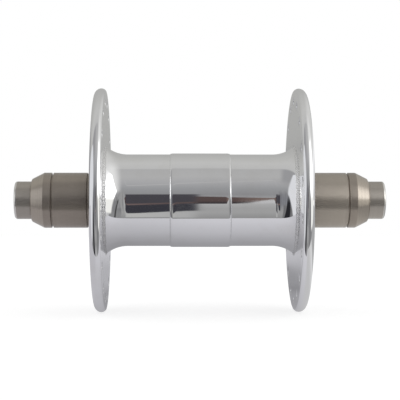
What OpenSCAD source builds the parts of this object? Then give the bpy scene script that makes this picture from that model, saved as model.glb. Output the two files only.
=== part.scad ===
// High flange track hub: a polished shell on two sealed ball bearings, with an axle held in the fork.
// Millimetres. X runs along the axle, Z is up, and the origin is the middle of the hub.

/* [Widths along the axle] */
// Width over the shoulders of the end caps, where the fork ends stand
over_shoulders = 100; // [92:0.5:130]
// Distance between the middle planes of the two flanges
flange_spacing = 59.07; // [52:0.01:66]
// Width of the raised band round the middle
band_w = 17.8; // [8:0.1:24]

/* [Flanges] */
// Outer diameter of a flange
flange_d = 66.4; // [60:0.1:80]
// Thickness of a flange
flange_t = 3.23; // [2.9:0.01:3.5]
// Radius of the rim from its highest line to the outer face
rim_outer_r = 1.98; // [1.8:0.01:2.1]
// Radius of the rim from its highest line to the corner at the inner face
rim_inner_r = 1.54; // [1.45:0.01:1.8]
// Radius of the sweep from the tube up to the flange
sweep_r = 10; // [7:0.5:14]
// Diameter of the crease where the sweep meets the flange
crease_d = 32; // [31:0.1:34]
// Height of the bearing boss on the outer face of a flange
boss_h = 0.95; // [0.5:0.01:2]
// Wall of the bearing boss round the bearing
boss_wall = 3.4; // [2:0.1:5]

/* [Spoke holes] */
// Number of spoke holes in each flange
spoke_holes = 18; // [10:1:20]
// Diameter of the circle that the spoke holes lie on
spoke_circle_d = 58.3; // [50:0.1:60]
// Diameter of a spoke hole
spoke_hole_d = 2.6; // [2:0.1:3]
// Depth of the countersink at both ends of a spoke hole
spoke_sink = 0.35; // [0.1:0.05:0.6]

/* [Tube] */
// Outer diameter of the tube between the flanges
tube_d = 27.25; // [26.6:0.05:30]
// Wall of the tube round the middle barrel
tube_wall = 1.4; // [1.1:0.05:1.6]
// Height of the raised band over the tube
band_h = 0.3; // [0.1:0.05:1]
// Width of the rounding at each edge of the raised band
band_edge = 0.9; // [0.3:0.1:2]
// Wall of the middle barrel inside the tube
barrel_wall = 1.2; // [0.8:0.1:1.6]
// Length of each barrel end that is pressed into the tube
spigot_l = 9; // [5:0.5:12]

/* [Bearings] */
// Bore of a bearing, which is the diameter of the axle
bearing_bore = 12; // [11:0.1:12.4]
// Outer diameter of a bearing
bearing_od = 24; // [23.6:0.1:24.6]
// Width of a bearing
bearing_w = 6; // [5.6:0.1:7]
// How far a bearing lies inside the mouth of the shell
bearing_inset = 0.4; // [0.2:0.1:1]
// Diameter of a ball
ball_d = 3.5; // [3.2:0.05:3.6]
// Number of balls in a bearing
balls = 10; // [7:1:10]
// Radial gap between the facing lands of the two rings
land_gap = 3; // [2.8:0.05:3.1]
// Radius of a ball groove as a share of the ball diameter
groove_share = 0.52; // [0.515:0.005:0.54]
// Chamfer on the corners of the rings
ring_edge = 0.3; // [0.1:0.05:0.4]

/* [Bearing seals and cages] */
// Thickness of a seal at its bead
seal_t = 0.5; // [0.4:0.05:0.55]
// Thickness of a seal at its web
web_t = 0.3; // [0.2:0.05:0.35]
// How far a seal lies inside the face of its bearing
seal_inset = 0.1; // [0.05:0.05:0.2]
// How far a seal is let into the outer ring
seal_bite = 0.4; // [0.2:0.05:0.5]
// Width of the lip that runs beside the inner ring
lip_w = 0.5; // [0.3:0.05:0.6]
// Thickness of the sheet of a cage half
cage_t = 0.3; // [0.2:0.05:0.35]
// Width of the cage ribbon between the rings
cage_w = 1.4; // [1:0.1:1.6]
// Diameter of a cage rivet
rivet_d = 0.6; // [0.4:0.05:0.7]

/* [Axle and end caps] */
// Diameter of the axle shoulder between the bearings
axle_shoulder_d = 14.6; // [13.6:0.1:14.8]
// Diameter of the tapping hole in each axle end
thread_hole_d = 6.8; // [6:0.1:7.2]
// Depth of the tapped part of the axle end
thread_l = 20; // [12:0.5:26]
// Diameter of the hole that runs through the middle of the axle
axle_hole_d = 5.6; // [3:0.1:5.8]
// Diameter of the sleeve outside a bearing
sleeve_d = 16.37; // [15.6:0.01:18]
// Diameter of the sleeve nose against the inner ring
nose_d = 14.6; // [13.6:0.1:14.8]
// Length of the sleeve nose
nose_l = 0.5; // [0.4:0.1:1]
// Width of the collar between the nose and the first groove
collar_w = 0.85; // [0.5:0.05:1.5]
// Width of the narrow groove beside the collar
collar_groove_w = 0.3; // [0.2:0.05:0.6]
// Width of the groove where the sleeve meets its end cap
cap_groove_w = 0.5; // [0.3:0.05:0.8]
// Depth of both grooves
groove_depth = 0.6; // [0.3:0.05:1]
// Chamfer on the edges of the sleeve
sleeve_edge = 0.12; // [0.05:0.01:0.2]
// Diameter of an end cap
cap_d = 16.4; // [16:0.1:18]
// Length of an end cap up to its shoulder
cap_l = 6.1; // [5.5:0.05:8]
// Length of the straight part of an end cap
cap_straight = 2.25; // [1.5:0.05:2.5]
// Chamfer at the inner end of an end cap
cap_edge = 0.15; // [0.1:0.05:0.5]
// Diameter at the small end of the taper
taper_d = 12.8; // [12.6:0.1:14]
// Length of the chamfer between the taper and the shoulder face
shoulder_edge = 0.3; // [0.1:0.05:0.5]
// Diameter of the stub that stands in the fork end
stub_d = 11.15; // [10:0.05:11.4]
// Length of the stub
stub_l = 4.85; // [4:0.05:8]
// Radius of the rounding at the end of the stub
stub_round = 0.65; // [0.2:0.05:1]
// Diameter of the bolt hole through the stub
bolt_hole_d = 8.4; // [8:0.1:9]
// How far the axle ends inside the shoulder face
cap_floor = 1.5; // [1:0.1:2]

/* [Fits] */
// Radial play where one piece is pressed or pushed onto another
seat_play = 0.01; // [0.005:0.005:0.02]
// Play between a ball and the grooves
ball_play = 0.03; // [0.02:0.005:0.05]
// Play between a ball and its cage pocket
pocket_play = 0.08; // [0.05:0.01:0.12]
// Play between a seal lip and the inner ring
lip_play = 0.1; // [0.05:0.01:0.2]

/* [Hidden] */
$fn = 96;
small_fn = 40;

LEFT = -1;
RIGHT = 1;
cut = 0.2;
corner = 0.3;

shell_colour = [0.80, 0.81, 0.83];
steel_colour = [0.62, 0.63, 0.65];
cap_colour = [0.53, 0.50, 0.46];
ball_colour = [0.85, 0.86, 0.88];
cage_colour = [0.70, 0.62, 0.45];
seal_colour = [0.12, 0.12, 0.13];

// Radii of the shell
tube_r = tube_d / 2;
band_r = tube_r + band_h;
spigot_r = tube_r - tube_wall;
barrel_bore_r = spigot_r - barrel_wall;
flange_r = flange_d / 2;
spoke_circle_r = spoke_circle_d / 2;
spoke_hole_r = spoke_hole_d / 2;

// Places along the axle, on the right side
band_x = band_w / 2;
spigot_x = band_x + spigot_l;
flange_x = flange_spacing / 2;
flange_in_x = flange_x - flange_t / 2;
flange_out_x = flange_x + flange_t / 2;
mouth_x = flange_out_x + boss_h;
bearing_x = mouth_x - bearing_inset - bearing_w / 2;
bearing_in_x = bearing_x - bearing_w / 2;
bearing_out_x = bearing_x + bearing_w / 2;
shoulder_x = over_shoulders / 2;
cap_x = shoulder_x - cap_l;
axle_end_x = shoulder_x - cap_floor;

// Radii of the bearing, from the circle through the ball centres outwards and inwards
bore_r = bearing_bore / 2;
bearing_r = bearing_od / 2;
pitch_r = (bore_r + bearing_r) / 2;
ball_r = ball_d / 2;
groove_r = ball_d * groove_share;
groove_shift = groove_r - ball_r - ball_play;
inner_land_r = pitch_r - land_gap / 2;
outer_land_r = pitch_r + land_gap / 2;
seal_seat_r = outer_land_r + seal_bite;
seal_x = bearing_w / 2 - seal_inset - seal_t;
seat_shoulder_r = outer_land_r + 0.5;
boss_r = bearing_r + boss_wall;

// The sweep leaves the tube without a step, and turns until it meets the flange at the crease
crease_r = crease_d / 2;
sweep_turn = acos(1 - (crease_r - tube_r) / sweep_r);
sweep_x = flange_in_x - sweep_r * sin(sweep_turn);

// The highest line of the rim, and the radius where its outer round begins
rim_x = flange_out_x - rim_outer_r;
rim_foot_r = flange_r - rim_outer_r;

// Angle from +Z, so that the left flange has a hole on each side of the hub at axle height
left_phase = 90;
right_phase = left_phase + 180 / spoke_holes;

// Points of a half profile, followed by their mirror images past the middle plane
function both_ways(half) = concat(half, [for (i = [len(half) - 1 : -1 : 0]) [half[i][0], -half[i][1]]]);

// Stands children that are turned about Z along the axle, on the left or right side of the hub
module on_side(side) {
    mirror([side == LEFT ? 1 : 0, 0, 0])
        rotate([0, 90, 0])
            children();
}

// Moves children to the middle of the bearing
module at_bearing(side) {
    on_side(side)
        translate([0, 0, bearing_x])
            children();
}

// A row of children round the axle, one per ball, with an offset in ball steps
module round_cage(offset_steps) {
    for (i = [0 : balls - 1])
        rotate([0, 0, (i + offset_steps) * 360 / balls])
            translate([pitch_r, 0, 0])
                children();
}

// Rim of the flange as radius and distance along the axle, one round on each side of its highest line
module rim_profile() {
    intersection() {
        translate([rim_foot_r, rim_x])
            circle(r = rim_outer_r);
        translate([rim_foot_r, rim_x])
            square(rim_outer_r);
    }
    intersection() {
        translate([flange_r - rim_inner_r, rim_x])
            circle(r = rim_inner_r);
        translate([rim_foot_r, flange_in_x])
            square([rim_outer_r, rim_x - flange_in_x]);
    }
}

// The foot of the flange, hollowed out by the sweep
module sweep_profile() {
    difference() {
        translate([spigot_r, sweep_x])
            square([crease_r - spigot_r, flange_in_x - sweep_x]);
        translate([tube_r + sweep_r, sweep_x])
            circle(r = sweep_r, $fn = 2 * $fn);
    }
}

// Outline of one half of the shell as radius and distance along the axle
module flange_profile() {
    polygon([
        [spigot_r, band_x],
        [tube_r, band_x],
        [tube_r, sweep_x],
        [spigot_r, sweep_x],
        [spigot_r, flange_in_x],
        [rim_foot_r, flange_in_x],
        [rim_foot_r, flange_out_x],
        [boss_r, flange_out_x],
        [boss_r - corner, mouth_x],
        [bearing_r + corner, mouth_x],
        [bearing_r, mouth_x - corner],
        [bearing_r, bearing_in_x],
        [seat_shoulder_r, bearing_in_x],
        [seat_shoulder_r, spigot_x],
        [spigot_r, spigot_x]
    ]);
    sweep_profile();
    rim_profile();
}

// One spoke hole with a countersink at both ends, standing on the middle plane of the flange
module spoke_hole_cutter() {
    cylinder(r = spoke_hole_r, h = flange_t + 2 * cut, center = true, $fn = small_fn);
    for (face = [0, 1])
        mirror([0, 0, face])
            translate([0, 0, flange_t / 2 - spoke_sink])
                cylinder(
                    r1 = spoke_hole_r, r2 = spoke_hole_r + spoke_sink + cut,
                    h = spoke_sink + cut, $fn = small_fn
                );
}

module flange(side, phase) {
    color(shell_colour)
        on_side(side)
            difference() {
                rotate_extrude()
                    flange_profile();
                for (i = [0 : spoke_holes - 1])
                    rotate([0, 0, phase + i * 360 / spoke_holes])
                        translate([spoke_circle_r, 0, flange_x])
                            spoke_hole_cutter();
            }
}

// The band shows between the flange tubes, and its two ends are pressed into them
module centre_barrel() {
    half = [
        for (a = [90 : -15 : 0])
            [tube_r + band_h * sin(a), band_x - band_edge * (1 - cos(a))],
        [spigot_r - seat_play, band_x],
        [spigot_r - seat_play, spigot_x - corner],
        [spigot_r - seat_play - corner, spigot_x],
        [barrel_bore_r, spigot_x]
    ];
    color(shell_colour)
        on_side(RIGHT)
            rotate_extrude()
                polygon(both_ways(half));
}

module axle() {
    shoulder_r = axle_shoulder_d / 2;
    axle_r = bore_r - seat_play;
    half = [
        [shoulder_r, bearing_in_x],
        [axle_r, bearing_in_x],
        [axle_r, axle_end_x - corner],
        [axle_r - corner, axle_end_x],
        [thread_hole_d / 2, axle_end_x],
        [thread_hole_d / 2, axle_end_x - thread_l],
        [axle_hole_d / 2, axle_end_x - thread_l]
    ];
    color(steel_colour)
        on_side(RIGHT)
            rotate_extrude()
                polygon(both_ways(half));
}

module outer_ring(side) {
    half = [
        [bearing_r - seat_play, bearing_w / 2 - ring_edge],
        [bearing_r - seat_play - ring_edge, bearing_w / 2],
        [seal_seat_r, bearing_w / 2],
        [seal_seat_r, seal_x],
        [outer_land_r, seal_x]
    ];
    color(steel_colour)
        at_bearing(side)
            rotate_extrude()
                difference() {
                    polygon(both_ways(half));
                    translate([pitch_r - groove_shift, 0])
                        circle(r = groove_r);
                }
}

module inner_ring(side) {
    half = [
        [inner_land_r, bearing_w / 2 - ring_edge / 2],
        [inner_land_r - ring_edge / 2, bearing_w / 2],
        [bore_r + ring_edge, bearing_w / 2],
        [bore_r, bearing_w / 2 - ring_edge]
    ];
    color(steel_colour)
        at_bearing(side)
            rotate_extrude()
                difference() {
                    polygon(both_ways(half));
                    translate([pitch_r + groove_shift, 0])
                        circle(r = groove_r);
                }
}

module ball_row(side) {
    color(ball_colour)
        at_bearing(side)
            round_cage(0)
                sphere(r = ball_r, $fn = 48);
}

// One pressed half of the cage: a flat ribbon with a round pocket for every ball
module cage_half(side, face) {
    pocket_r = ball_r + pocket_play;
    reach = pocket_r + cage_t;
    color(cage_colour)
        at_bearing(side)
            mirror([0, 0, face == "inboard" ? 1 : 0])
                difference() {
                    intersection() {
                        union() {
                            cylinder(r = pitch_r + cage_w, h = cage_t);
                            round_cage(0)
                                sphere(r = reach, $fn = 64);
                        }
                        difference() {
                            cylinder(r = pitch_r + cage_w / 2, h = 2 * reach);
                            translate([0, 0, -cut])
                                cylinder(r = pitch_r - cage_w / 2, h = 2 * reach + 2 * cut);
                        }
                    }
                    round_cage(0)
                        sphere(r = pocket_r, $fn = 64);
                    round_cage(0.5)
                        cylinder(d = rivet_d + 2 * seat_play, h = 3 * cage_t, center = true, $fn = small_fn);
                }
}

// The rivets lie between the balls, with a head on each half of the cage
module cage_rivets(side) {
    head_h = 0.7 * cage_t;
    color(cage_colour)
        at_bearing(side)
            round_cage(0.5) {
                cylinder(d = rivet_d, h = 2 * cage_t + head_h, center = true, $fn = small_fn);
                for (face = [0, 1])
                    mirror([0, 0, face])
                        translate([0, 0, cage_t])
                            cylinder(r1 = 0.8 * rivet_d, r2 = rivet_d / 2, h = head_h, $fn = small_fn);
            }
}

// A rubber seal: a bead let into the outer ring, a thin web, and a lip beside the inner ring
module seal(side, face) {
    lip_r = inner_land_r + lip_play;
    color(seal_colour)
        at_bearing(side)
            mirror([0, 0, face == "inboard" ? 1 : 0])
                rotate_extrude()
                    polygon([
                        [lip_r, seal_x],
                        [seal_seat_r - seat_play, seal_x],
                        [seal_seat_r - seat_play, seal_x + seal_t],
                        [outer_land_r - seal_bite, seal_x + seal_t],
                        [outer_land_r - seal_bite, seal_x + web_t],
                        [lip_r + lip_w, seal_x + web_t],
                        [lip_r + lip_w / 2, seal_x + seal_t],
                        [lip_r, seal_x + seal_t]
                    ]);
}

// A nose against the inner ring, a collar, a narrow groove, the long body, and a groove beside the end cap
module sleeve(side) {
    sleeve_r = sleeve_d / 2;
    edge_r = sleeve_r - sleeve_edge;
    root_r = sleeve_r - groove_depth;
    collar_x = bearing_out_x + nose_l;
    groove_x = collar_x + collar_w;
    body_x = groove_x + collar_groove_w;
    neck_x = cap_x - cap_groove_w;
    color(cap_colour)
        on_side(side)
            rotate_extrude()
                polygon([
                    [bore_r, bearing_out_x],
                    [nose_d / 2, bearing_out_x],
                    [nose_d / 2, collar_x],
                    [edge_r, collar_x],
                    [sleeve_r, collar_x + sleeve_edge],
                    [sleeve_r, groove_x],
                    [root_r, groove_x],
                    [root_r, body_x],
                    [sleeve_r, body_x],
                    [sleeve_r, neck_x - sleeve_edge],
                    [edge_r, neck_x],
                    [root_r, neck_x],
                    [root_r, cap_x],
                    [bore_r, cap_x]
                ]);
}

// The end cap fits over the end of the axle, and its stub stands in the fork end
module end_cap(side) {
    stub_r = stub_d / 2;
    stub_end_x = shoulder_x + stub_l;
    round_c = [stub_r - stub_round, stub_end_x - stub_round];
    color(cap_colour)
        on_side(side)
            rotate_extrude()
                polygon([
                    [bore_r, cap_x],
                    [cap_d / 2 - cap_edge, cap_x],
                    [cap_d / 2, cap_x + cap_edge],
                    [cap_d / 2, cap_x + cap_straight],
                    [taper_d / 2, shoulder_x - shoulder_edge],
                    [stub_r + shoulder_edge, shoulder_x],
                    [stub_r, shoulder_x],
                    for (a = [0 : 15 : 90])
                        [round_c[0] + stub_round * cos(a), round_c[1] + stub_round * sin(a)],
                    [bolt_hole_d / 2 + corner / 2, stub_end_x],
                    [bolt_hole_d / 2, stub_end_x - corner / 2],
                    [bolt_hole_d / 2, axle_end_x],
                    [bore_r, axle_end_x]
                ]);
}

module left_flange() { flange(LEFT, left_phase); }
module right_flange() { flange(RIGHT, right_phase); }
module left_outer_ring() { outer_ring(LEFT); }
module right_outer_ring() { outer_ring(RIGHT); }
module left_inner_ring() { inner_ring(LEFT); }
module right_inner_ring() { inner_ring(RIGHT); }
module left_balls() { ball_row(LEFT); }
module right_balls() { ball_row(RIGHT); }
module left_cage_inboard() { cage_half(LEFT, "inboard"); }
module left_cage_outboard() { cage_half(LEFT, "outboard"); }
module right_cage_inboard() { cage_half(RIGHT, "inboard"); }
module right_cage_outboard() { cage_half(RIGHT, "outboard"); }
module left_cage_rivets() { cage_rivets(LEFT); }
module right_cage_rivets() { cage_rivets(RIGHT); }
module left_seal_inboard() { seal(LEFT, "inboard"); }
module left_seal_outboard() { seal(LEFT, "outboard"); }
module right_seal_inboard() { seal(RIGHT, "inboard"); }
module right_seal_outboard() { seal(RIGHT, "outboard"); }
module left_sleeve() { sleeve(LEFT); }
module right_sleeve() { sleeve(RIGHT); }
module left_end_cap() { end_cap(LEFT); }
module right_end_cap() { end_cap(RIGHT); }

centre_barrel();
left_flange();
right_flange();
axle();
left_outer_ring();
left_inner_ring();
left_balls();
left_cage_inboard();
left_cage_outboard();
left_cage_rivets();
left_seal_inboard();
left_seal_outboard();
left_sleeve();
left_end_cap();
right_outer_ring();
right_inner_ring();
right_balls();
right_cage_inboard();
right_cage_outboard();
right_cage_rivets();
right_seal_inboard();
right_seal_outboard();
right_sleeve();
right_end_cap();
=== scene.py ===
import math

import bpy
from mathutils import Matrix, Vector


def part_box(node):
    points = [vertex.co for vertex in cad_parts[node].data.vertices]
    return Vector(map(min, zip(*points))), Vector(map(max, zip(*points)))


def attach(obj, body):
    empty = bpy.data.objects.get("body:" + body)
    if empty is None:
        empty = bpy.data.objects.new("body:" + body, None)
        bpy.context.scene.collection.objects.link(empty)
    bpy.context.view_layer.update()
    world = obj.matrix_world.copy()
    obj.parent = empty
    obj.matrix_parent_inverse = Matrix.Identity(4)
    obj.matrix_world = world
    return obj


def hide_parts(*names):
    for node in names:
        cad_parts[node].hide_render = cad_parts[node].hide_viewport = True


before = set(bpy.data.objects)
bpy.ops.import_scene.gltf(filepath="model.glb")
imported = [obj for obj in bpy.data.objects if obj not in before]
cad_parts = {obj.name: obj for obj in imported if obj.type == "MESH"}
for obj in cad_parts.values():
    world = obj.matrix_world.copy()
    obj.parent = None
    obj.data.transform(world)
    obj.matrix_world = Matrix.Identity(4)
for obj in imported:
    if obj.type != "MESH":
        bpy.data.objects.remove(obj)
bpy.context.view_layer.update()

# Lengths in this script are metres, and MM turns a number of millimetres into metres
MM = 0.001

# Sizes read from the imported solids
rim_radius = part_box("left_flange")[1].z
mouth_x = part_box("right_flange")[1].x
spigot_end_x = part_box("centre_barrel")[1].x
band_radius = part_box("centre_barrel")[1].z
axle_end_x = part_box("axle")[1].x
sleeve_start_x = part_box("right_sleeve")[0].x
sleeve_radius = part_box("right_sleeve")[1].z
cap_start_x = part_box("right_end_cap")[0].x
stub_end_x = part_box("right_end_cap")[1].x
cap_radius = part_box("right_end_cap")[1].z
ring_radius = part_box("right_outer_ring")[1].z
bearing_in_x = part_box("right_outer_ring")[0].x

# Sizes that the solids hold inside their outlines
flange_inner_x = 27.92 * MM
flange_thickness = 3.23 * MM
flange_outer_x = flange_inner_x + flange_thickness
band_half = 8.9 * MM
tube_radius = 13.625 * MM
spigot_radius = 12.225 * MM
barrel_bore = 11.025 * MM
seat_shoulder = 11.0 * MM
rim_outer_round = 1.98 * MM
rim_inner_round = 1.54 * MM
sweep_radius = 10.0 * MM
crease_radius = 16.0 * MM
boss_radius = 15.4 * MM
spoke_circle_radius = 29.15 * MM
spoke_hole_radius = 1.3 * MM
spoke_count = 18
axle_radius = 5.99 * MM
axle_hole_radius = 2.8 * MM
bearing_shoulder = 7.3 * MM
bore_radius = 6.0 * MM
taper_start_x = cap_start_x + 2.25 * MM
taper_end_radius = 6.4 * MM
shoulder_x = 50.0 * MM
stub_radius = 5.575 * MM
stub_round = 0.65 * MM
bolt_hole_radius = 4.2 * MM
thread_crest = 3.4 * MM
thread_root = 4.0 * MM
thread_pitch = 1.25 * MM
thread_length = 20.0 * MM

# How finely the turned pieces are spun, how close two of their points are joined, and the angle in degrees
# up to which faces are shaded as one surface
SHELL_STEPS = 240
SMALL_STEPS = 144
HOLE_STEPS = 28
WELD = 0.002 * MM
SHELL_SMOOTH = 32
SMALL_SMOOTH = 40


# Outlines are lists of (distance along the axle, radius)

def curve(centre, size, start, end, steps):
    """Points on an ellipse or circle round centre, from one angle to another in degrees."""
    points = []
    for i in range(steps + 1):
        angle = math.radians(start + (end - start) * i / steps)
        points.append((centre[0] + size[0] * math.cos(angle), centre[1] + size[1] * math.sin(angle)))
    return points


def rounded(outline, radius, steps=3):
    """Rounds the corners of a closed outline, with smaller curves where two corners are close."""
    arm_share = 0.45
    points = []
    for i, corner in enumerate(outline):
        before, after = outline[i - 1], outline[(i + 1) % len(outline)]
        arms = [(before[0] - corner[0], before[1] - corner[1]), (after[0] - corner[0], after[1] - corner[1])]
        lengths = [math.hypot(*arm) for arm in arms]
        reach = min(radius, arm_share * min(lengths))
        first = [corner[k] + arms[0][k] / lengths[0] * reach for k in (0, 1)]
        last = [corner[k] + arms[1][k] / lengths[1] * reach for k in (0, 1)]
        for s in range(steps + 1):
            t = s / steps
            points.append(tuple(
                (1 - t) ** 2 * first[k] + 2 * t * (1 - t) * corner[k] + t * t * last[k] for k in (0, 1)
            ))
    return points


def mirrored(outline):
    """The same outline on the left side of the hub."""
    return [(-x, r) for x, r in outline]


def both_ways(right_half):
    """A right half outline and its mirror image, joined in the middle of the hub."""
    return right_half + mirrored(right_half)[::-1]


# Modelling steps

def clear_selection():
    if bpy.context.object and bpy.context.object.mode != "OBJECT":
        bpy.ops.object.mode_set(mode="OBJECT")
    bpy.ops.object.select_all(action="DESELECT")


def pick(piece):
    clear_selection()
    bpy.context.view_layer.objects.active = piece
    piece.select_set(True)


def turn(name, outline, steps, smooth_angle=SHELL_SMOOTH):
    """A closed solid of revolution about the axle, drawn by extruding one point and then spun."""
    clear_selection()
    bpy.ops.mesh.primitive_plane_add(size=MM, location=(0, 0, 0))
    piece = bpy.context.object
    piece.name = name
    piece.data.name = name
    bpy.ops.object.mode_set(mode="EDIT")
    bpy.ops.mesh.select_all(action="SELECT")
    bpy.ops.mesh.merge(type="CENTER")
    bpy.ops.transform.translate(value=(outline[0][0], 0, outline[0][1]))
    for here, there in zip(outline, outline[1:] + outline[:1]):
        step = (there[0] - here[0], 0, there[1] - here[1])
        bpy.ops.mesh.extrude_region_move(TRANSFORM_OT_translate={"value": step})
    bpy.ops.mesh.select_all(action="SELECT")
    bpy.ops.mesh.remove_doubles(threshold=WELD)
    bpy.ops.mesh.select_all(action="SELECT")
    bpy.ops.mesh.spin(steps=steps, angle=2 * math.pi, center=(0, 0, 0), axis=(1, 0, 0))
    bpy.ops.mesh.select_all(action="SELECT")
    bpy.ops.mesh.remove_doubles(threshold=WELD)
    bpy.ops.mesh.normals_make_consistent(inside=False)
    bpy.ops.object.mode_set(mode="OBJECT")
    bpy.ops.object.shade_smooth_by_angle(angle=math.radians(smooth_angle))
    return piece


def drill(piece, cutter):
    """Cuts the cutter out of the piece and removes the cutter."""
    pick(piece)
    hole = piece.modifiers.new("holes", "BOOLEAN")
    hole.operation = "DIFFERENCE"
    hole.solver = "EXACT"
    hole.object = cutter
    bpy.ops.object.modifier_apply(modifier=hole.name)
    bpy.data.objects.remove(cutter)
    bpy.ops.object.shade_smooth_by_angle(angle=math.radians(SHELL_SMOOTH))


def finished(piece, body, material_slot, material, *nodes):
    """Gives a piece its finish and its place on a body, and lets it stand for its solids."""
    piece.data.materials.clear()
    piece.data.materials.append(material)
    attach(piece, body)
    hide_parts(*nodes)


# Node trees

class Nodes:
    """A node tree with a short way to add and join nodes."""

    def __init__(self, tree):
        self.tree = tree
        tree.nodes.clear()

    def add(self, kind, **settings):
        node = self.tree.nodes.new(kind)
        for key, value in settings.items():
            setattr(node, key, value)
        return node

    def fill(self, node, values):
        """Feeds a node's inputs by their names, in which _ stands for a space."""
        for key, value in values.items():
            self.feed(node.inputs[key.replace("_", " ")], value)

    def feed(self, socket, value):
        """Joins a value to a socket, or sets it there when it is a plain number or colour."""
        if isinstance(value, bpy.types.NodeSocket):
            self.tree.links.new(value, socket)
        elif isinstance(value, tuple) and len(value) == 3 and socket.type == "RGBA":
            socket.default_value = (*value, 1)
        else:
            socket.default_value = value

    def math(self, operation, *values):
        node = self.add("ShaderNodeMath", operation=operation)
        for socket, value in zip(node.inputs, values):
            self.feed(socket, value)
        return node.outputs[0]

    def fade(self, value, low, high, new_low=0.0, new_high=1.0):
        """A value carried smoothly from one range to another."""
        node = self.add("ShaderNodeMapRange", interpolation_type="SMOOTHSTEP")
        self.fill(node, {
            "Value": value, "From Min": low, "From Max": high, "To Min": new_low, "To Max": new_high,
        })
        return node.outputs["Result"]

    def all_of(self, *masks):
        result = masks[0]
        for mask in masks[1:]:
            result = self.math("MULTIPLY", result, mask)
        return result

    def mix(self, amount, first, second):
        """A colour between two. The node has sockets of one name for each data type, so they go by number."""
        node = self.add("ShaderNodeMix", data_type="RGBA")
        for socket, value in ((0, amount), (6, first), (7, second)):
            self.feed(node.inputs[socket], value)
        return node.outputs[2]

    def ramp(self, value, stops):
        """A colour ramp over 0 to 1."""
        node = self.add("ShaderNodeValToRGB")
        self.feed(node.inputs["Fac"], value)
        elements = node.color_ramp.elements
        while len(elements) < len(stops):
            elements.new(0.5)
        for element, (position, colour) in zip(elements, stops):
            element.position = position
            element.color = (*colour, 1)
        return node.outputs["Color"]

    def split(self, vector):
        node = self.add("ShaderNodeSeparateXYZ")
        self.feed(node.inputs[0], vector)
        return node.outputs["X"], node.outputs["Y"], node.outputs["Z"]

    def noise(self, vector, scale, detail=2.0, roughness=0.5):
        node = self.add("ShaderNodeTexNoise")
        self.fill(node, {"Vector": vector, "Scale": scale, "Detail": detail, "Roughness": roughness})
        return node.outputs["Fac"]

    def bump(self, height, distance, under=None):
        node = self.add("ShaderNodeBump")
        node.inputs["Distance"].default_value = distance
        self.feed(node.inputs["Height"], height)
        if under is not None:
            self.feed(node.inputs["Normal"], under)
        return node.outputs["Normal"]

    def output_of(self, kind, **values):
        """The first output of a new node with these inputs."""
        node = self.add(kind)
        self.fill(node, values)
        return node.outputs[0]

    def choose(self, amount, first, second):
        node = self.add("ShaderNodeMixShader")
        for socket, value in zip(node.inputs, (amount, first, second)):
            self.feed(socket, value)
        return node.outputs[0]


class Metal(Nodes):
    """A material that knows the distance along the axle and the distance from it."""

    def __init__(self, name, metallic=1.0):
        self.material = bpy.data.materials.new(name)
        self.material.use_nodes = True
        super().__init__(self.material.node_tree)
        self.surface = self.add("ShaderNodeBsdfPrincipled")
        self.surface.inputs["Metallic"].default_value = metallic
        output = self.add("ShaderNodeOutputMaterial")
        self.feed(output.inputs["Surface"], self.surface.outputs["BSDF"])
        self.point = self.add("ShaderNodeTexCoord").outputs["Object"]
        self.along, across, up = self.split(self.point)
        squares = self.math("MULTIPLY_ADD", across, across, self.math("MULTIPLY", up, up))
        self.radius = self.math("SQRT", squares)

    def set(self, **values):
        self.fill(self.surface, values)

    def rings(self, per_metre, waver):
        """Noise in fine rings round the axle, as a cutting tool or a polishing wheel leaves."""
        wander = self.noise(self.point, 60.0, 1.0)
        place = self.output_of(
            "ShaderNodeCombineXYZ",
            X=self.math("MULTIPLY", self.along, per_metre),
            Y=self.math("MULTIPLY", self.radius, per_metre),
            Z=self.math("MULTIPLY", wander, waver),
        )
        return self.noise(place, 1.0, 3.0, 0.6)


# Materials

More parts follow.
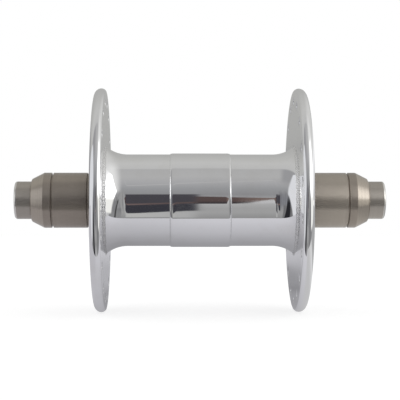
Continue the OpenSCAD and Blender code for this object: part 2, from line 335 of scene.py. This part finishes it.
def polished_aluminium():
    """Mirror polish with faint rings and stains, a little rougher on the inner faces of the flanges, whose
    colour is darker as painted shade between the flanges. The crease, which no wheel reaches, is rough, with a
    darker colour, most on the left, as painted shade. The outer faces are satin, with the rings of the lathe."""
    metal = Metal("polished_aluminium")
    side = metal.math("ABSOLUTE", metal.along)
    right = metal.fade(metal.along, -MM, MM)

    # Masks: the crease with its ragged edge, the inner face up to the rim, and the flat of the outer face
    ragged = 0.5 * MM
    raggedness = metal.noise(metal.point, 900.0, 2.0)
    ragged_side = metal.math("MULTIPLY_ADD", raggedness, ragged, side)
    ragged_radius = metal.math("MULTIPLY_ADD", raggedness, ragged, metal.radius)
    crease = metal.all_of(
        metal.fade(ragged_side, flange_inner_x - 0.35 * MM, flange_inner_x),
        metal.fade(side, flange_inner_x + 0.6 * MM, flange_inner_x + 0.4 * MM),
        metal.fade(ragged_radius, crease_radius + 0.75 * MM, crease_radius + 0.4 * MM),
    )
    inner_face = metal.all_of(
        metal.fade(side, flange_inner_x - 0.08 * MM, flange_inner_x - 0.02 * MM),
        metal.fade(side, flange_inner_x + 0.3 * MM, flange_inner_x + 0.1 * MM),
        metal.fade(metal.radius, 31.0 * MM, 29.0 * MM),
    )
    outer_face = metal.all_of(
        metal.fade(side, flange_outer_x - 0.15 * MM, flange_outer_x - 0.03 * MM),
        metal.fade(metal.radius, 31.2 * MM, 30.4 * MM),
    )

    # Colour: faint stains, with painted shade on the inner faces and in the crease
    stains = metal.fade(metal.noise(metal.point, 90.0, 4.0, 0.6), 0.45, 0.75)
    bright = metal.mix(stains, (0.90, 0.90, 0.905), (0.86, 0.855, 0.85))
    # The inner faces of the flanges are painted darker: painted shade between the flanges
    bright = metal.mix(inner_face, bright, (0.79, 0.79, 0.795))
    # The crease is painted darker, much more on the left than on the right: painted shade in the crease
    crease_shade = metal.mix(right, (0.74, 0.735, 0.73), (0.88, 0.875, 0.87))

    # Roughness: the left crease is smeared more evenly than the right one
    polish = metal.math("MULTIPLY_ADD", stains, 0.04, 0.035)
    polish = metal.math("MULTIPLY_ADD", inner_face, 0.05, polish)
    polish = metal.math("MULTIPLY_ADD", outer_face, 0.32, polish)
    least_smear = metal.fade(metal.along, -MM, MM, 0.26, 0.10)
    smears = metal.fade(metal.noise(metal.point, 1900.0, 1.0), 0.42, 0.58, least_smear, 0.42)

    # Relief, from the finest to the broadest: polishing lines, pits in the crease, turned rings, slight waves
    relief = metal.bump(metal.rings(5200.0, 0.6), 0.00004 * MM)
    pits = metal.math("MULTIPLY", metal.noise(metal.point, 2400.0, 2.0, 0.6), crease)
    relief = metal.bump(pits, 0.20 * MM, relief)
    turned = metal.math("MULTIPLY", metal.rings(6500.0, 0.4), outer_face)
    relief = metal.bump(turned, 0.002 * MM, relief)
    metal.set(
        Base_Color=metal.mix(crease, bright, crease_shade),
        Roughness=metal.math("MULTIPLY_ADD", crease, smears, polish),
        Normal=metal.bump(metal.noise(metal.point, 130.0, 1.0), 0.004 * MM, relief),
    )
    return metal.material


def turned_cap_metal():
    """Satin brown grey metal, blurred along the axle by the lathe's rings. Each stub has a polished edge, also
    painted paler as a painted highlight, and the sleeve on the right is painted paler as painted light.
    """
    metal = Metal("turned_cap_metal")
    side = metal.math("ABSOLUTE", metal.along)
    taper = metal.fade(side, taper_start_x - 0.05 * MM, taper_start_x + 0.1 * MM)
    stub = metal.fade(side, shoulder_x - 0.1 * MM, shoulder_x)
    edge = metal.fade(side, stub_end_x - stub_round - 0.1 * MM, stub_end_x - stub_round + 0.1 * MM)
    right_sleeve = metal.all_of(
        metal.fade(metal.along, cap_start_x, cap_start_x - 0.1 * MM), metal.fade(metal.along, 0.0, MM)
    )

    # Colour: the sleeve on the right is painted paler than the one on the left, as painted light from the
    # brighter lamp on that side
    patches = metal.noise(metal.point, 260.0, 3.0)
    colour = metal.mix(patches, (0.385, 0.337, 0.290), (0.455, 0.405, 0.350))
    # Painted light: the right sleeve is made paler where the brighter lamp falls
    colour = metal.mix(metal.math("MULTIPLY", right_sleeve, 0.5), colour, (0.58, 0.53, 0.46))
    colour = metal.mix(taper, colour, (0.53, 0.475, 0.41))
    colour = metal.mix(stub, colour, (0.50, 0.462, 0.415))
    # The polished stub edge is painted paler: a painted highlight on top of its real polish
    colour = metal.mix(edge, colour, (0.80, 0.78, 0.74))

    # Roughness and blur
    rings = metal.rings(9000.0, 0.8)
    roughness = metal.math("MULTIPLY_ADD", taper, -0.06, metal.fade(rings, 0.3, 0.7, 0.32, 0.42))
    roughness = metal.math("MULTIPLY_ADD", stub, 0.08, roughness)
    tangent = metal.add("ShaderNodeTangent", direction_type="RADIAL", axis="X")
    metal.set(
        Base_Color=colour,
        Roughness=metal.mix(edge, roughness, (0.16, 0.16, 0.16)),
        Anisotropic=metal.fade(edge, 0.0, 1.0, 0.92, 0.0),
        Anisotropic_Rotation=0.25,
        Tangent=tangent.outputs[0],
        Normal=metal.bump(rings, 0.0025 * MM),
    )
    return metal.material


def ground_steel(name, low, high, roughness):
    """Steel with fine rings from grinding, for the axle and the bearings."""
    metal = Metal(name)
    rings = metal.rings(7000.0, 0.5)
    metal.set(
        Base_Color=metal.mix(metal.noise(metal.point, 300.0, 3.0), low, high),
        Roughness=metal.fade(rings, 0.3, 0.7, roughness * 0.8, roughness * 1.3),
        Normal=metal.bump(rings, 0.001 * MM),
    )
    return metal.material


def seal_rubber():
    """Matt black rubber with a fine grain and a little dust."""
    rubber = Metal("seal_rubber", metallic=0.0)
    dust = rubber.fade(rubber.noise(rubber.point, 900.0, 4.0, 0.65), 0.5, 0.8)
    rubber.set(
        Base_Color=rubber.mix(dust, (0.018, 0.018, 0.020), (0.06, 0.058, 0.055)),
        Roughness=rubber.math("MULTIPLY_ADD", dust, 0.2, 0.5),
        Normal=rubber.bump(rubber.noise(rubber.point, 6000.0), 0.01 * MM),
    )
    return rubber.material


# Pieces of the shell

def flange_outline():
    """Half of the shell: tube, sweep, crease, flange with its rounded rim, boss, bearing seat and bore."""
    sweep_turn = math.acos(1 - (crease_radius - tube_radius) / sweep_radius)
    sweep_x = flange_inner_x - sweep_radius * math.sin(sweep_turn)
    sweep = curve(
        (sweep_x, tube_radius + sweep_radius), (sweep_radius, sweep_radius),
        -90, math.degrees(sweep_turn) - 90, 26,
    )
    rim_x = flange_outer_x - rim_outer_round
    corner_turn = math.degrees(math.asin((rim_x - flange_inner_x) / rim_inner_round))
    inner_round = curve(
        (rim_x, rim_radius - rim_inner_round), (rim_inner_round, rim_inner_round), 90 + corner_turn, 90, 20
    )
    outer_round = curve(
        (rim_x, rim_radius - rim_outer_round), (rim_outer_round, rim_outer_round), 90, 0, 28
    )
    corner_radius = inner_round[0][1]
    flat_radius = rim_radius - rim_outer_round
    fillet = 0.5 * MM
    lip = 0.3 * MM
    boss_x = flange_outer_x + fillet
    seat_radius = ring_radius + 0.01 * MM
    socket_end_x = spigot_end_x + 0.05 * MM
    edge = 0.05 * MM

    # Points between the corners keep the tube and the flat faces in even rows, and short steps beside a curve
    # keep its shading off the flat
    rows = (22 * MM, 26.5 * MM)
    tube = [(band_half, tube_radius - edge), (band_half + edge, tube_radius)]
    tube += [(sweep_x - gap, tube_radius) for gap in (8 * MM, 3 * MM, 0.5 * MM)]
    inner_face = [(flange_inner_x, crease_radius + gap) for gap in (0.05 * MM, 0.5 * MM)]
    inner_face += [(flange_inner_x, radius) for radius in rows]
    inner_face += [(flange_inner_x, corner_radius - gap) for gap in (0.3 * MM, 0.08 * MM)]
    inner_corner = [(flange_inner_x + 0.01 * MM, corner_radius - 0.03 * MM)]
    outer_face = [(flange_outer_x, radius) for radius in (flat_radius - 0.4 * MM, *rows[::-1])]
    outer_face += [(flange_outer_x, boss_radius + fillet + 0.3 * MM)]
    boss = curve((boss_x, boss_radius + fillet), (fillet, fillet), 180, 270, 6)[:-1]
    boss += curve((mouth_x - lip, boss_radius - lip), (lip, lip), 90, 0, 5)
    seat = [(mouth_x, ring_radius + lip), (mouth_x - lip, seat_radius)]
    seat += [(bearing_in_x, seat_radius), (bearing_in_x, seat_shoulder)]
    socket = [(socket_end_x, seat_shoulder), (socket_end_x, spigot_radius), (band_half, spigot_radius)]
    inside = tube + sweep + inner_face + inner_corner
    rim = inner_round[1:-1] + outer_round
    return inside + rim + outer_face + boss + seat + socket


def spoke_hole_cutter(name, first_angle):
    """All the spoke holes of one flange, each with a rounded countersink at both faces."""
    half = flange_thickness / 2
    flare = 0.32 * MM
    end_x = half + 0.4 * MM
    flare_radius = spoke_hole_radius + flare
    right_half = []
    for degrees in (0, 20, 40, 60, 78, 90):
        angle = math.radians(degrees)
        right_half.append((half - flare * (1 - math.sin(angle)), flare_radius - flare * math.cos(angle)))
    right_half += [(end_x, flare_radius), (end_x, 0.001 * MM)]
    cutter = turn(name, both_ways(right_half), HOLE_STEPS)
    bpy.ops.object.mode_set(mode="EDIT")
    bpy.ops.mesh.select_all(action="SELECT")
    bpy.ops.transform.translate(value=(flange_inner_x + half, 0, spoke_circle_radius))
    bpy.ops.transform.rotate(value=math.radians(first_angle), orient_axis="X", center_override=(0, 0, 0))
    bpy.ops.mesh.spin(steps=spoke_count, angle=2 * math.pi, center=(0, 0, 0), axis=(1, 0, 0), dupli=True)
    bpy.ops.mesh.select_all(action="SELECT")
    bpy.ops.mesh.remove_doubles(threshold=0.005 * MM)
    bpy.ops.object.mode_set(mode="OBJECT")
    return cutter


def make_flange(side, first_angle, material):
    """One half of the shell. The left one is made on the right and then carried through the middle plane."""
    piece = turn(f"{side}_flange_polished", flange_outline(), SHELL_STEPS)
    drill(piece, spoke_hole_cutter(f"{side}_spoke_holes", first_angle))
    if side == "left":
        pick(piece)
        bpy.ops.object.mode_set(mode="EDIT")
        bpy.ops.mesh.select_all(action="SELECT")
        bpy.ops.transform.resize(value=(-1, 1, 1), center_override=(0, 0, 0))
        bpy.ops.mesh.normals_make_consistent(inside=False)
        bpy.ops.object.mode_set(mode="OBJECT")
    finished(piece, "shell", "polished_shell", material, f"{side}_flange")


def make_barrel(material):
    """The middle barrel, with a softly rounded edge on each side of its raised band."""
    edge = 0.9 * MM
    chamfer = 0.3 * MM
    rise = band_radius - tube_radius
    inner = spigot_radius - 0.01 * MM
    shoulder = curve((band_half - edge, tube_radius), (edge, rise), 90, 0, 9)[:-1]
    right_half = [(0.5 * MM, band_radius), (band_half - 2 * edge, band_radius)] + shoulder + [
        (band_half, tube_radius - 0.04 * MM),
        (band_half, inner),
        (spigot_end_x - chamfer, inner),
        (spigot_end_x, inner - chamfer),
        (spigot_end_x, barrel_bore),
    ]
    piece = turn("centre_barrel_polished", both_ways(right_half), SHELL_STEPS)
    finished(piece, "shell", "polished_shell", material, "centre_barrel")


# Axle, sleeves and end caps

def make_axle(material):
    """The axle with an internal thread cut in each end."""
    chamfer = 0.3 * MM
    first_crest_x = axle_end_x - 0.6 * MM
    crest_width = 0.16 * MM
    root_start, root_end = 0.55 * thread_pitch, 0.65 * thread_pitch
    thread = []
    for i in range(int(thread_length / thread_pitch)):
        x = first_crest_x - i * thread_pitch
        thread += [(x, thread_crest), (x - crest_width, thread_crest)]
        thread += [(x - root_start, thread_root), (x - root_end, thread_root)]
    thread_end = axle_end_x - thread_length
    right_half = [
        (bearing_in_x, bearing_shoulder),
        (bearing_in_x, axle_radius),
        (axle_end_x - chamfer, axle_radius),
        (axle_end_x, axle_radius - chamfer),
        (axle_end_x, thread_root),
    ] + thread + [(thread_end - 0.8 * MM, thread_crest), (thread_end - 1.6 * MM, axle_hole_radius)]
    piece = turn("axle_turned", both_ways(right_half), SMALL_STEPS)
    finished(piece, "axle", "axle_steel", material, "axle")


def make_cap_piece(side, name, outline, material):
    """A sleeve or an end cap, on the side that it belongs to."""
    if side == "left":
        outline = mirrored(outline)
    piece = turn(f"{side}_{name}_turned", outline, SMALL_STEPS, SMALL_SMOOTH)
    finished(piece, "axle", "cap_metal", material, f"{side}_{name}")


def make_sleeve(side, material):
    """Nose, collar, narrow groove, long body, and the groove beside the end cap."""
    root_radius = sleeve_radius - 0.6 * MM
    collar_x = sleeve_start_x + 0.5 * MM
    groove_x = collar_x + 0.85 * MM
    body_x = groove_x + 0.3 * MM
    neck_x = cap_start_x - 0.5 * MM
    outline = rounded([
        (sleeve_start_x, bore_radius),
        (sleeve_start_x, bearing_shoulder),
        (collar_x, bearing_shoulder),
        (collar_x, sleeve_radius),
        (groove_x, sleeve_radius),
        (groove_x, root_radius),
        (body_x, root_radius),
        (body_x, sleeve_radius),
        (neck_x, sleeve_radius),
        (neck_x, root_radius),
        (cap_start_x, root_radius),
        (cap_start_x, bore_radius),
    ], radius=0.09 * MM)
    make_cap_piece(side, "sleeve", outline, material)


def make_end_cap(side, material):
    """Cylinder, taper, shoulder and stub, with the bolt hole through the stub."""
    start_chamfer = 0.15 * MM
    shoulder_chamfer = 0.3 * MM
    hole_chamfer = 0.2 * MM
    outline = rounded([
        (cap_start_x, bore_radius),
        (cap_start_x, cap_radius - start_chamfer),
        (cap_start_x + start_chamfer, cap_radius),
        (taper_start_x, cap_radius),
        (shoulder_x - shoulder_chamfer, taper_end_radius),
        (shoulder_x, stub_radius + shoulder_chamfer),
        (shoulder_x, stub_radius),
    ], radius=0.12 * MM)
    outline += [(shoulder_x + 0.08 * MM, stub_radius), (shoulder_x + 2.1 * MM, stub_radius)]
    outline += curve((stub_end_x - stub_round, stub_radius - stub_round), (stub_round, stub_round), 90, 0, 10)
    outline += [(stub_end_x, bolt_hole_radius + hole_chamfer), (stub_end_x - hole_chamfer, bolt_hole_radius)]
    outline += [(axle_end_x, bolt_hole_radius), (axle_end_x, bore_radius)]
    make_cap_piece(side, "end_cap", outline, material)


# Camera, world and floor

def make_camera():
    """The photograph's view: level with the axle and a little to the left."""
    distance = 0.4
    azimuth = math.radians(-1.05)
    data = bpy.data.cameras.new("camera")
    camera = bpy.data.objects.new("camera", data)
    bpy.context.scene.collection.objects.link(camera)
    camera.location = (distance * math.sin(azimuth), -distance * math.cos(azimuth), 0)
    camera.rotation_euler = (math.radians(90), 0, azimuth)
    data.sensor_width = 36
    data.lens = 120.78
    data.shift_y = 0.0006
    data.clip_start = 0.01
    data.clip_end = 20
    bpy.context.scene.camera = camera


# Greys of the tent round the hub, by the angle up from the camera's direction in degrees
TENT_GREYS = [
    (-180, (0.56, 0.56, 0.57)),
    (-60, (0.50, 0.50, 0.51)),
    (-45, (0.29, 0.29, 0.29)),
    (-30, (0.37, 0.37, 0.37)),
    (-20, (0.37, 0.37, 0.37)),
    (-10, (0.43, 0.43, 0.43)),
    (-4, (0.58, 0.58, 0.59)),
    (3, (0.55, 0.55, 0.56)),
    (6, (0.34, 0.34, 0.35)),
    (14, (0.28, 0.28, 0.29)),
    (28, (0.325, 0.33, 0.34)),
    (44, (0.415, 0.415, 0.425)),
    (60, (0.465, 0.465, 0.465)),
    (83, (0.45, 0.45, 0.45)),
    (86, (0.535, 0.535, 0.53)),
    (105, (0.56, 0.56, 0.55)),
    (128, (0.505, 0.505, 0.49)),
    (150, (0.46, 0.46, 0.45)),
    (180, (0.44, 0.44, 0.43)),
]

# Outlines of lamps and dark things in the tent. Each edge is a plane through the hub: the direction across,
# ahead and up to the side of it that counts, and how soft the edge is
RIGHT_LAMP = [
    (1.39, -0.4, -1.0, 0.04), (0.966, 0.56, -1.0, 0.03), (1.16, -1.0, 0.7, 0.08), (0.21, 0.474, 1.0, 0.06),
]
LEFT_LAMP = [
    (-0.93, 0.0, -1.0, 0.05), (-2.81, -1.93, -1.0, 0.2), (-1.09, -0.35, -1.0, 0.1),
    (-1.0, -1.0, 0.76, 0.05), (-0.62, 1.216, -1.0, 0.03), (-0.6, 0.0, 1.0, 0.1),
]
LEFT_STAND = [(-1.4, -1.0, -0.15, 0.03), (1.0, 1.0, -0.26, 0.06), (-0.1, 0.0, -1.0, 0.2)]
RIGHT_STAND = [(2.38, -1.0, 1.0, 0.05), (-1.98, 1.0, -1.0, 0.05), (0.0, 0.0, -1.0, 0.08)]
CABLE = [(1.88, -1.0, 0.0, 0.015), (-1.76, 1.0, 0.0, 0.015)]
LOW_WALL_RIGHT = [(0.35, 0.0, -1.0, 0.01)]
LOW_WALL_LEFT = [(-0.35, 0.0, -1.0, 0.01)]
DIM_RIGHT = [(2.18, -1.0, 1.0, 0.06)]
DIM_LEFT = [(-2.25, -1.0, 0.0, 0.06)]


class Tent(Nodes):
    """What metal reflects, painted by direction: across to the right, ahead to the camera's side, and up. The
    angle is the one up from straight ahead, in degrees, and passes 90 overhead."""

    def __init__(self, tree):
        super().__init__(tree)
        self.across, away, self.up = self.split(self.add("ShaderNodeTexCoord").outputs["Generated"])
        self.ahead = self.math("MULTIPLY", away, -1.0)
        self.angle = self.math("MULTIPLY", self.math("ARCTAN2", self.up, self.ahead), 180 / math.pi)
        place = self.math("MULTIPLY_ADD", self.angle, 1 / 360, 0.5)
        self.colour = self.ramp(place, [((degrees + 180) / 360, grey) for degrees, grey in TENT_GREYS])

    def between(self, value, low, high, soft):
        """1 where a value is between two limits."""
        return self.all_of(
            self.fade(value, low - soft, low + soft), self.fade(value, high + soft, high - soft)
        )

    def above(self, value, limit, soft):
        """1 where a value is above a limit that changes from place to place."""
        return self.fade(self.math("SUBTRACT", value, limit), -soft, soft)

    def inside(self, outline):
        """1 on the side that counts of every edge of an outline."""
        masks = []
        for across, ahead, up, soft in outline:
            reach = self.math("MULTIPLY_ADD", self.ahead, ahead, self.math("MULTIPLY", self.up, up))
            masks.append(self.fade(self.math("MULTIPLY_ADD", self.across, across, reach), -soft, soft))
        return self.all_of(*masks)

    def paint(self, colour, *masks):
        """Lays a colour over the tent where all the masks are 1."""
        self.colour = self.mix(self.all_of(*masks), self.colour, colour)


def paint_walls(tent):
    """Brighter walls on the right and darker ones on the left, dim low down, and low walls behind the hub."""
    across, ahead, up, angle = tent.across, tent.ahead, tent.up, tent.angle
    right_wall = tent.mix(tent.fade(ahead, 0.05, -0.4), (0.82, 0.82, 0.81), (0.66, 0.66, 0.65))
    tent.paint(right_wall, tent.fade(across, 0.16, 0.6), tent.fade(up, 0.1, 0.4))
    upper_left = (tent.fade(across, -0.1, -0.42), tent.fade(angle, 32, 56), tent.fade(angle, 86, 80))
    tent.paint((0.335, 0.335, 0.345), *upper_left)
    tent.paint((0.37, 0.37, 0.37), tent.between(across, 0.09, 0.7, 0.03), tent.between(angle, -18, 20, 8))
    tent.paint((0.24, 0.245, 0.265), tent.fade(across, -0.14, -0.15), tent.between(angle, -18, 14, 9))

    low_right = tent.math(
        "MAXIMUM",
        tent.all_of(tent.inside(DIM_RIGHT), tent.fade(up, 0.06, -0.06)),
        tent.all_of(tent.fade(across, 0.2, 0.3), tent.fade(angle, -16, -24)),
    )
    tent.paint((0.265, 0.265, 0.27), low_right)
    tent.paint((0.185, 0.185, 0.19), tent.inside(DIM_LEFT), tent.fade(up, -0.12, -0.26))

    # Things in the dim room behind the camera, upright and soft
    clutter = tent.output_of(
        "ShaderNodeCombineXYZ",
        X=tent.math("MULTIPLY", tent.math("ARCTAN2", across, ahead), 9.0),
        Y=tent.math("MULTIPLY", angle, 0.02),
    )
    shapes = tent.fade(tent.noise(clutter, 1.0, 3.0, 0.6), 0.35, 0.65, 0.0, 0.45)
    off_centre = tent.fade(tent.math("ABSOLUTE", across), 0.08, 0.15)
    tent.paint((0.13, 0.13, 0.14), shapes, off_centre, tent.between(angle, -30, 20, 10))

    behind = tent.fade(ahead, 0.1, 0.0)
    white = tent.mix(tent.fade(up, 0.02, 0.2), (0.55, 0.55, 0.56), (0.95, 0.95, 0.96))
    tent.paint(white, tent.inside(LOW_WALL_RIGHT), behind)
    grey = tent.mix(tent.fade(across, -0.95, -0.8), (0.60, 0.60, 0.61), (0.29, 0.29, 0.30))
    tent.paint(grey, tent.inside(LOW_WALL_LEFT), behind)


def paint_lamps(tent):
    """A large white lamp on the right and a smaller one on the left, and the dark stands in front of them."""
    glare = tent.mix(tent.fade(tent.ahead, 0.08, 0.3), (1.05, 1.05, 1.05), (2.1, 2.1, 2.1))
    lamp = tent.mix(tent.fade(tent.up, 0.0, 0.15), (0.96, 0.955, 0.92), glare)
    tent.paint(lamp, tent.inside(RIGHT_LAMP), tent.fade(tent.angle, 100, 80))
    tent.paint((0.76, 0.77, 0.80), tent.inside(LEFT_LAMP))
    tent.paint((0.022, 0.022, 0.026), tent.inside(LEFT_STAND))
    tent.paint((0.06, 0.06, 0.06), tent.inside(RIGHT_STAND))
    tent.paint((0.12, 0.12, 0.12), tent.inside(CABLE), tent.between(tent.angle, -16, 9, 2))


def paint_opening(tent):
    """The camera's dark opening in the tent, with a strap across it, a brown wedge on its right, and a light
    strip with a dark lower edge below it."""
    across, angle = tent.across, tent.angle
    strip = tent.mix(tent.fade(across, -0.035, 0.0), (0.49, 0.49, 0.48), (0.44, 0.44, 0.44))
    tent.paint(strip, tent.between(across, -0.05, 0.014, 0.006), tent.between(angle, -43, -28, 2))
    lower_edge = (tent.between(across, -0.05, 0.0, 0.006), tent.between(angle, -47.5, -44.5, 1))
    tent.paint((0.19, 0.19, 0.195), *lower_edge)

    left_low = tent.fade(across, -0.15, -0.05, -26.0, -7.0)
    left = tent.all_of(
        tent.between(across, -0.205, -0.045, 0.012),
        tent.above(angle, left_low, 2.0),
        tent.fade(angle, 16, 10),
    )
    middle_low = tent.fade(across, -0.04, 0.02, -33.0, -25.2)
    middle = tent.all_of(
        tent.between(across, -0.05, 0.0165, 0.0015),
        tent.above(angle, middle_low, 1.0),
        tent.fade(angle, 16, 13),
    )
    opening = tent.math("MAXIMUM", left, middle)
    dark = tent.mix(tent.fade(angle, -12, -6), (0.042, 0.042, 0.052), (0.064, 0.061, 0.071))
    tent.paint(dark, opening)

    strap_angle = tent.fade(across, -0.04, 0.02, -10.5, -5.5)
    strap = tent.mix(tent.fade(across, -0.04, 0.0), (0.17, 0.125, 0.12), (0.11, 0.082, 0.08))
    tent.paint(strap, opening, tent.between(tent.math("SUBTRACT", angle, strap_angle), -1.7, 1.7, 1))

    wedge_low = tent.fade(across, 0.046, 0.076, -8.5, 2.5)
    wedge_top = tent.fade(across, 0.016, 0.076, 9.0, 5.5)
    brown = tent.mix(tent.fade(across, 0.042, 0.062), (0.095, 0.068, 0.065), (0.18, 0.13, 0.115))
    wedge = tent.mix(tent.fade(angle, -7, -1), (0.048, 0.042, 0.044), brown)
    tent.paint(
        wedge,
        tent.between(across, 0.015, 0.08, 0.0015),
        tent.above(angle, wedge_low, 0.7),
        tent.above(wedge_top, angle, 0.7),
    )


def paint_seam(tent):
    """A bright seam that runs up the tent's roof, a little askew."""
    seam_angle = tent.math("MULTIPLY_ADD", tent.across, 130.0, 41.0)
    seam = tent.all_of(
        tent.between(tent.math("SUBTRACT", tent.angle, seam_angle), -0.9, 0.9, 0.6),
        tent.between(tent.across, -0.05, 0.12, 0.02),
    )
    tent.paint((0.50, 0.50, 0.50), tent.math("MULTIPLY", seam, 0.7))


def make_world():
    """A white room for the camera, soft white light, and a grey tent with lamps for what metal reflects."""
    world = bpy.data.worlds.new("studio")
    bpy.context.scene.world = world
    world.use_nodes = True
    tent = Tent(world.node_tree)
    paint_walls(tent)
    paint_lamps(tent)
    paint_opening(tent)
    paint_seam(tent)

    white = (1.0, 1.0, 1.0)
    rays = tent.add("ShaderNodeLightPath").outputs
    in_metal = tent.output_of("ShaderNodeBackground", Color=tent.colour)
    soft_light = tent.output_of("ShaderNodeBackground", Color=white, Strength=0.85)
    backdrop = tent.output_of("ShaderNodeBackground", Color=white, Strength=1.0)
    seen = tent.choose(rays["Is Glossy Ray"], soft_light, in_metal)
    output = tent.add("ShaderNodeOutputWorld")
    tent.feed(output.inputs["Surface"], tent.choose(rays["Is Camera Ray"], seen, backdrop))


# Painted greys of the sheet as metal sees it, darkest as the hub's painted shadow just behind its axle, by the
# # distance behind the hub's axle in millimetres
SHEET_PAINTED_GREYS = [
    (-60, 0.70), (-30, 0.62), (-12, 0.52), (0, 0.42), (12, 0.36),
    (40, 0.33), (140, 0.48), (260, 0.48), (420, 0.57),
]


def painted_sheet_in_metal(sheet):
    """The sheet as metal reflects it, painted as an emission that only reflections see: bluish, with painted
    shadow darkest behind the hub and painted light beyond the flanges, and cut off at its near edge.
    """
    black = (0.0, 0.0, 0.0)
    across, away, _ = sheet.split(sheet.add("ShaderNodeTexCoord").outputs["Object"])
    start, end = SHEET_PAINTED_GREYS[0][0], SHEET_PAINTED_GREYS[-1][0]
    place = sheet.math("DIVIDE", sheet.math("SUBTRACT", away, start * MM), (end - start) * MM)
    painted_greys = sheet.ramp(
        place, [((mm - start) / (end - start), (grey, grey * 0.995, grey * 1.05)) for mm, grey in SHEET_PAINTED_GREYS]
    )

    # Painted shade: the left is a little darker all along, and the right is darker far behind the hub
    painted_greys = sheet.mix(sheet.fade(across, 10 * MM, -25 * MM, 0.0, 0.08), painted_greys, black)
    far_right_painted_shade = sheet.all_of(
        sheet.fade(across, -5 * MM, 12 * MM, 0.0, 0.34),
        sheet.fade(away, 50 * MM, 110 * MM),
        sheet.fade(away, 400 * MM, 200 * MM),
    )
    painted_greys = sheet.mix(far_right_painted_shade, painted_greys, black)

    # Painted light and shade: beyond the flanges the sheet is lighter, and dark again at its far right
    right = sheet.mix(sheet.fade(across, 36 * MM, 60 * MM), (0.56, 0.56, 0.565), (0.73, 0.73, 0.735))
    right = sheet.mix(sheet.fade(across, 62 * MM, 76 * MM), right, (0.42, 0.42, 0.425))
    painted_greys = sheet.mix(sheet.fade(across, 26 * MM, 34 * MM), painted_greys, right)
    painted_greys = sheet.mix(sheet.fade(across, -29 * MM, -40 * MM), painted_greys, (0.525, 0.52, 0.55))

    near_edge = sheet.fade(across, 27 * MM, 33 * MM, -40 * MM, -47 * MM)
    return sheet.choose(
        sheet.math("LESS_THAN", away, near_edge),
        sheet.output_of("ShaderNodeEmission", Color=painted_greys),
        sheet.output_of("ShaderNodeBsdfTransparent"),
    )


def make_floor():
    """A white sheet under the hub, which the camera sees as white with a faint shadow."""
    clear_selection()
    bpy.ops.mesh.primitive_plane_add(size=1.6, location=(0, 0, -rim_radius - 0.01 * MM))
    floor = bpy.context.object
    floor.name = "floor"
    bpy.ops.object.transform_apply(location=True, rotation=True, scale=True)
    material = bpy.data.materials.new("white_sheet")
    material.use_nodes = True
    sheet = Nodes(material.node_tree)
    rays = sheet.add("ShaderNodeLightPath").outputs
    to_light = sheet.output_of("ShaderNodeBsdfDiffuse", Color=(0.86, 0.86, 0.87))
    to_camera = sheet.add("ShaderNodeAddShader")
    sheet.feed(to_camera.inputs[0], sheet.output_of("ShaderNodeBsdfDiffuse", Color=(0.34, 0.34, 0.34)))
    sheet.feed(to_camera.inputs[1], sheet.output_of("ShaderNodeEmission", Strength=0.76))
    seen = sheet.choose(rays["Is Camera Ray"], to_light, to_camera.outputs[0])
    output = sheet.add("ShaderNodeOutputMaterial")
    # Metal sees the sheet's painted light and shadow instead of its lit colour
    sheet.feed(output.inputs["Surface"], sheet.choose(rays["Is Glossy Ray"], seen, painted_sheet_in_metal(sheet)))
    floor.data.materials.append(material)


# The hub

shell_metal = polished_aluminium()
cap_metal = turned_cap_metal()
axle_metal = ground_steel("axle_steel", (0.42, 0.42, 0.43), (0.50, 0.50, 0.51), 0.28)
ring_metal = ground_steel("bearing_steel", (0.55, 0.56, 0.58), (0.64, 0.65, 0.66), 0.2)
ball_metal = ground_steel("ball_steel", (0.78, 0.79, 0.81), (0.84, 0.85, 0.86), 0.06)
cage_metal = ground_steel("cage_steel", (0.50, 0.46, 0.38), (0.58, 0.53, 0.44), 0.32)
rubber = seal_rubber()

make_flange("left", 90, shell_metal)
make_flange("right", 90 + 180 / spoke_count, shell_metal)
make_barrel(shell_metal)
make_axle(axle_metal)
bearing_metals = {
    "outer_ring": ring_metal, "inner_ring": ring_metal, "balls": ball_metal,
    "cage_inboard": cage_metal, "cage_outboard": cage_metal, "cage_rivets": cage_metal,
    "seal_inboard": rubber, "seal_outboard": rubber,
}
for side in ("left", "right"):
    make_sleeve(side, cap_metal)
    make_end_cap(side, cap_metal)
    for node, metal in bearing_metals.items():
        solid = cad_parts[f"{side}_{node}"]
        solid.data.materials.clear()
        solid.data.materials.append(metal)

make_camera()
make_world()
make_floor()
bpy.context.scene.view_settings.view_transform = "Standard"
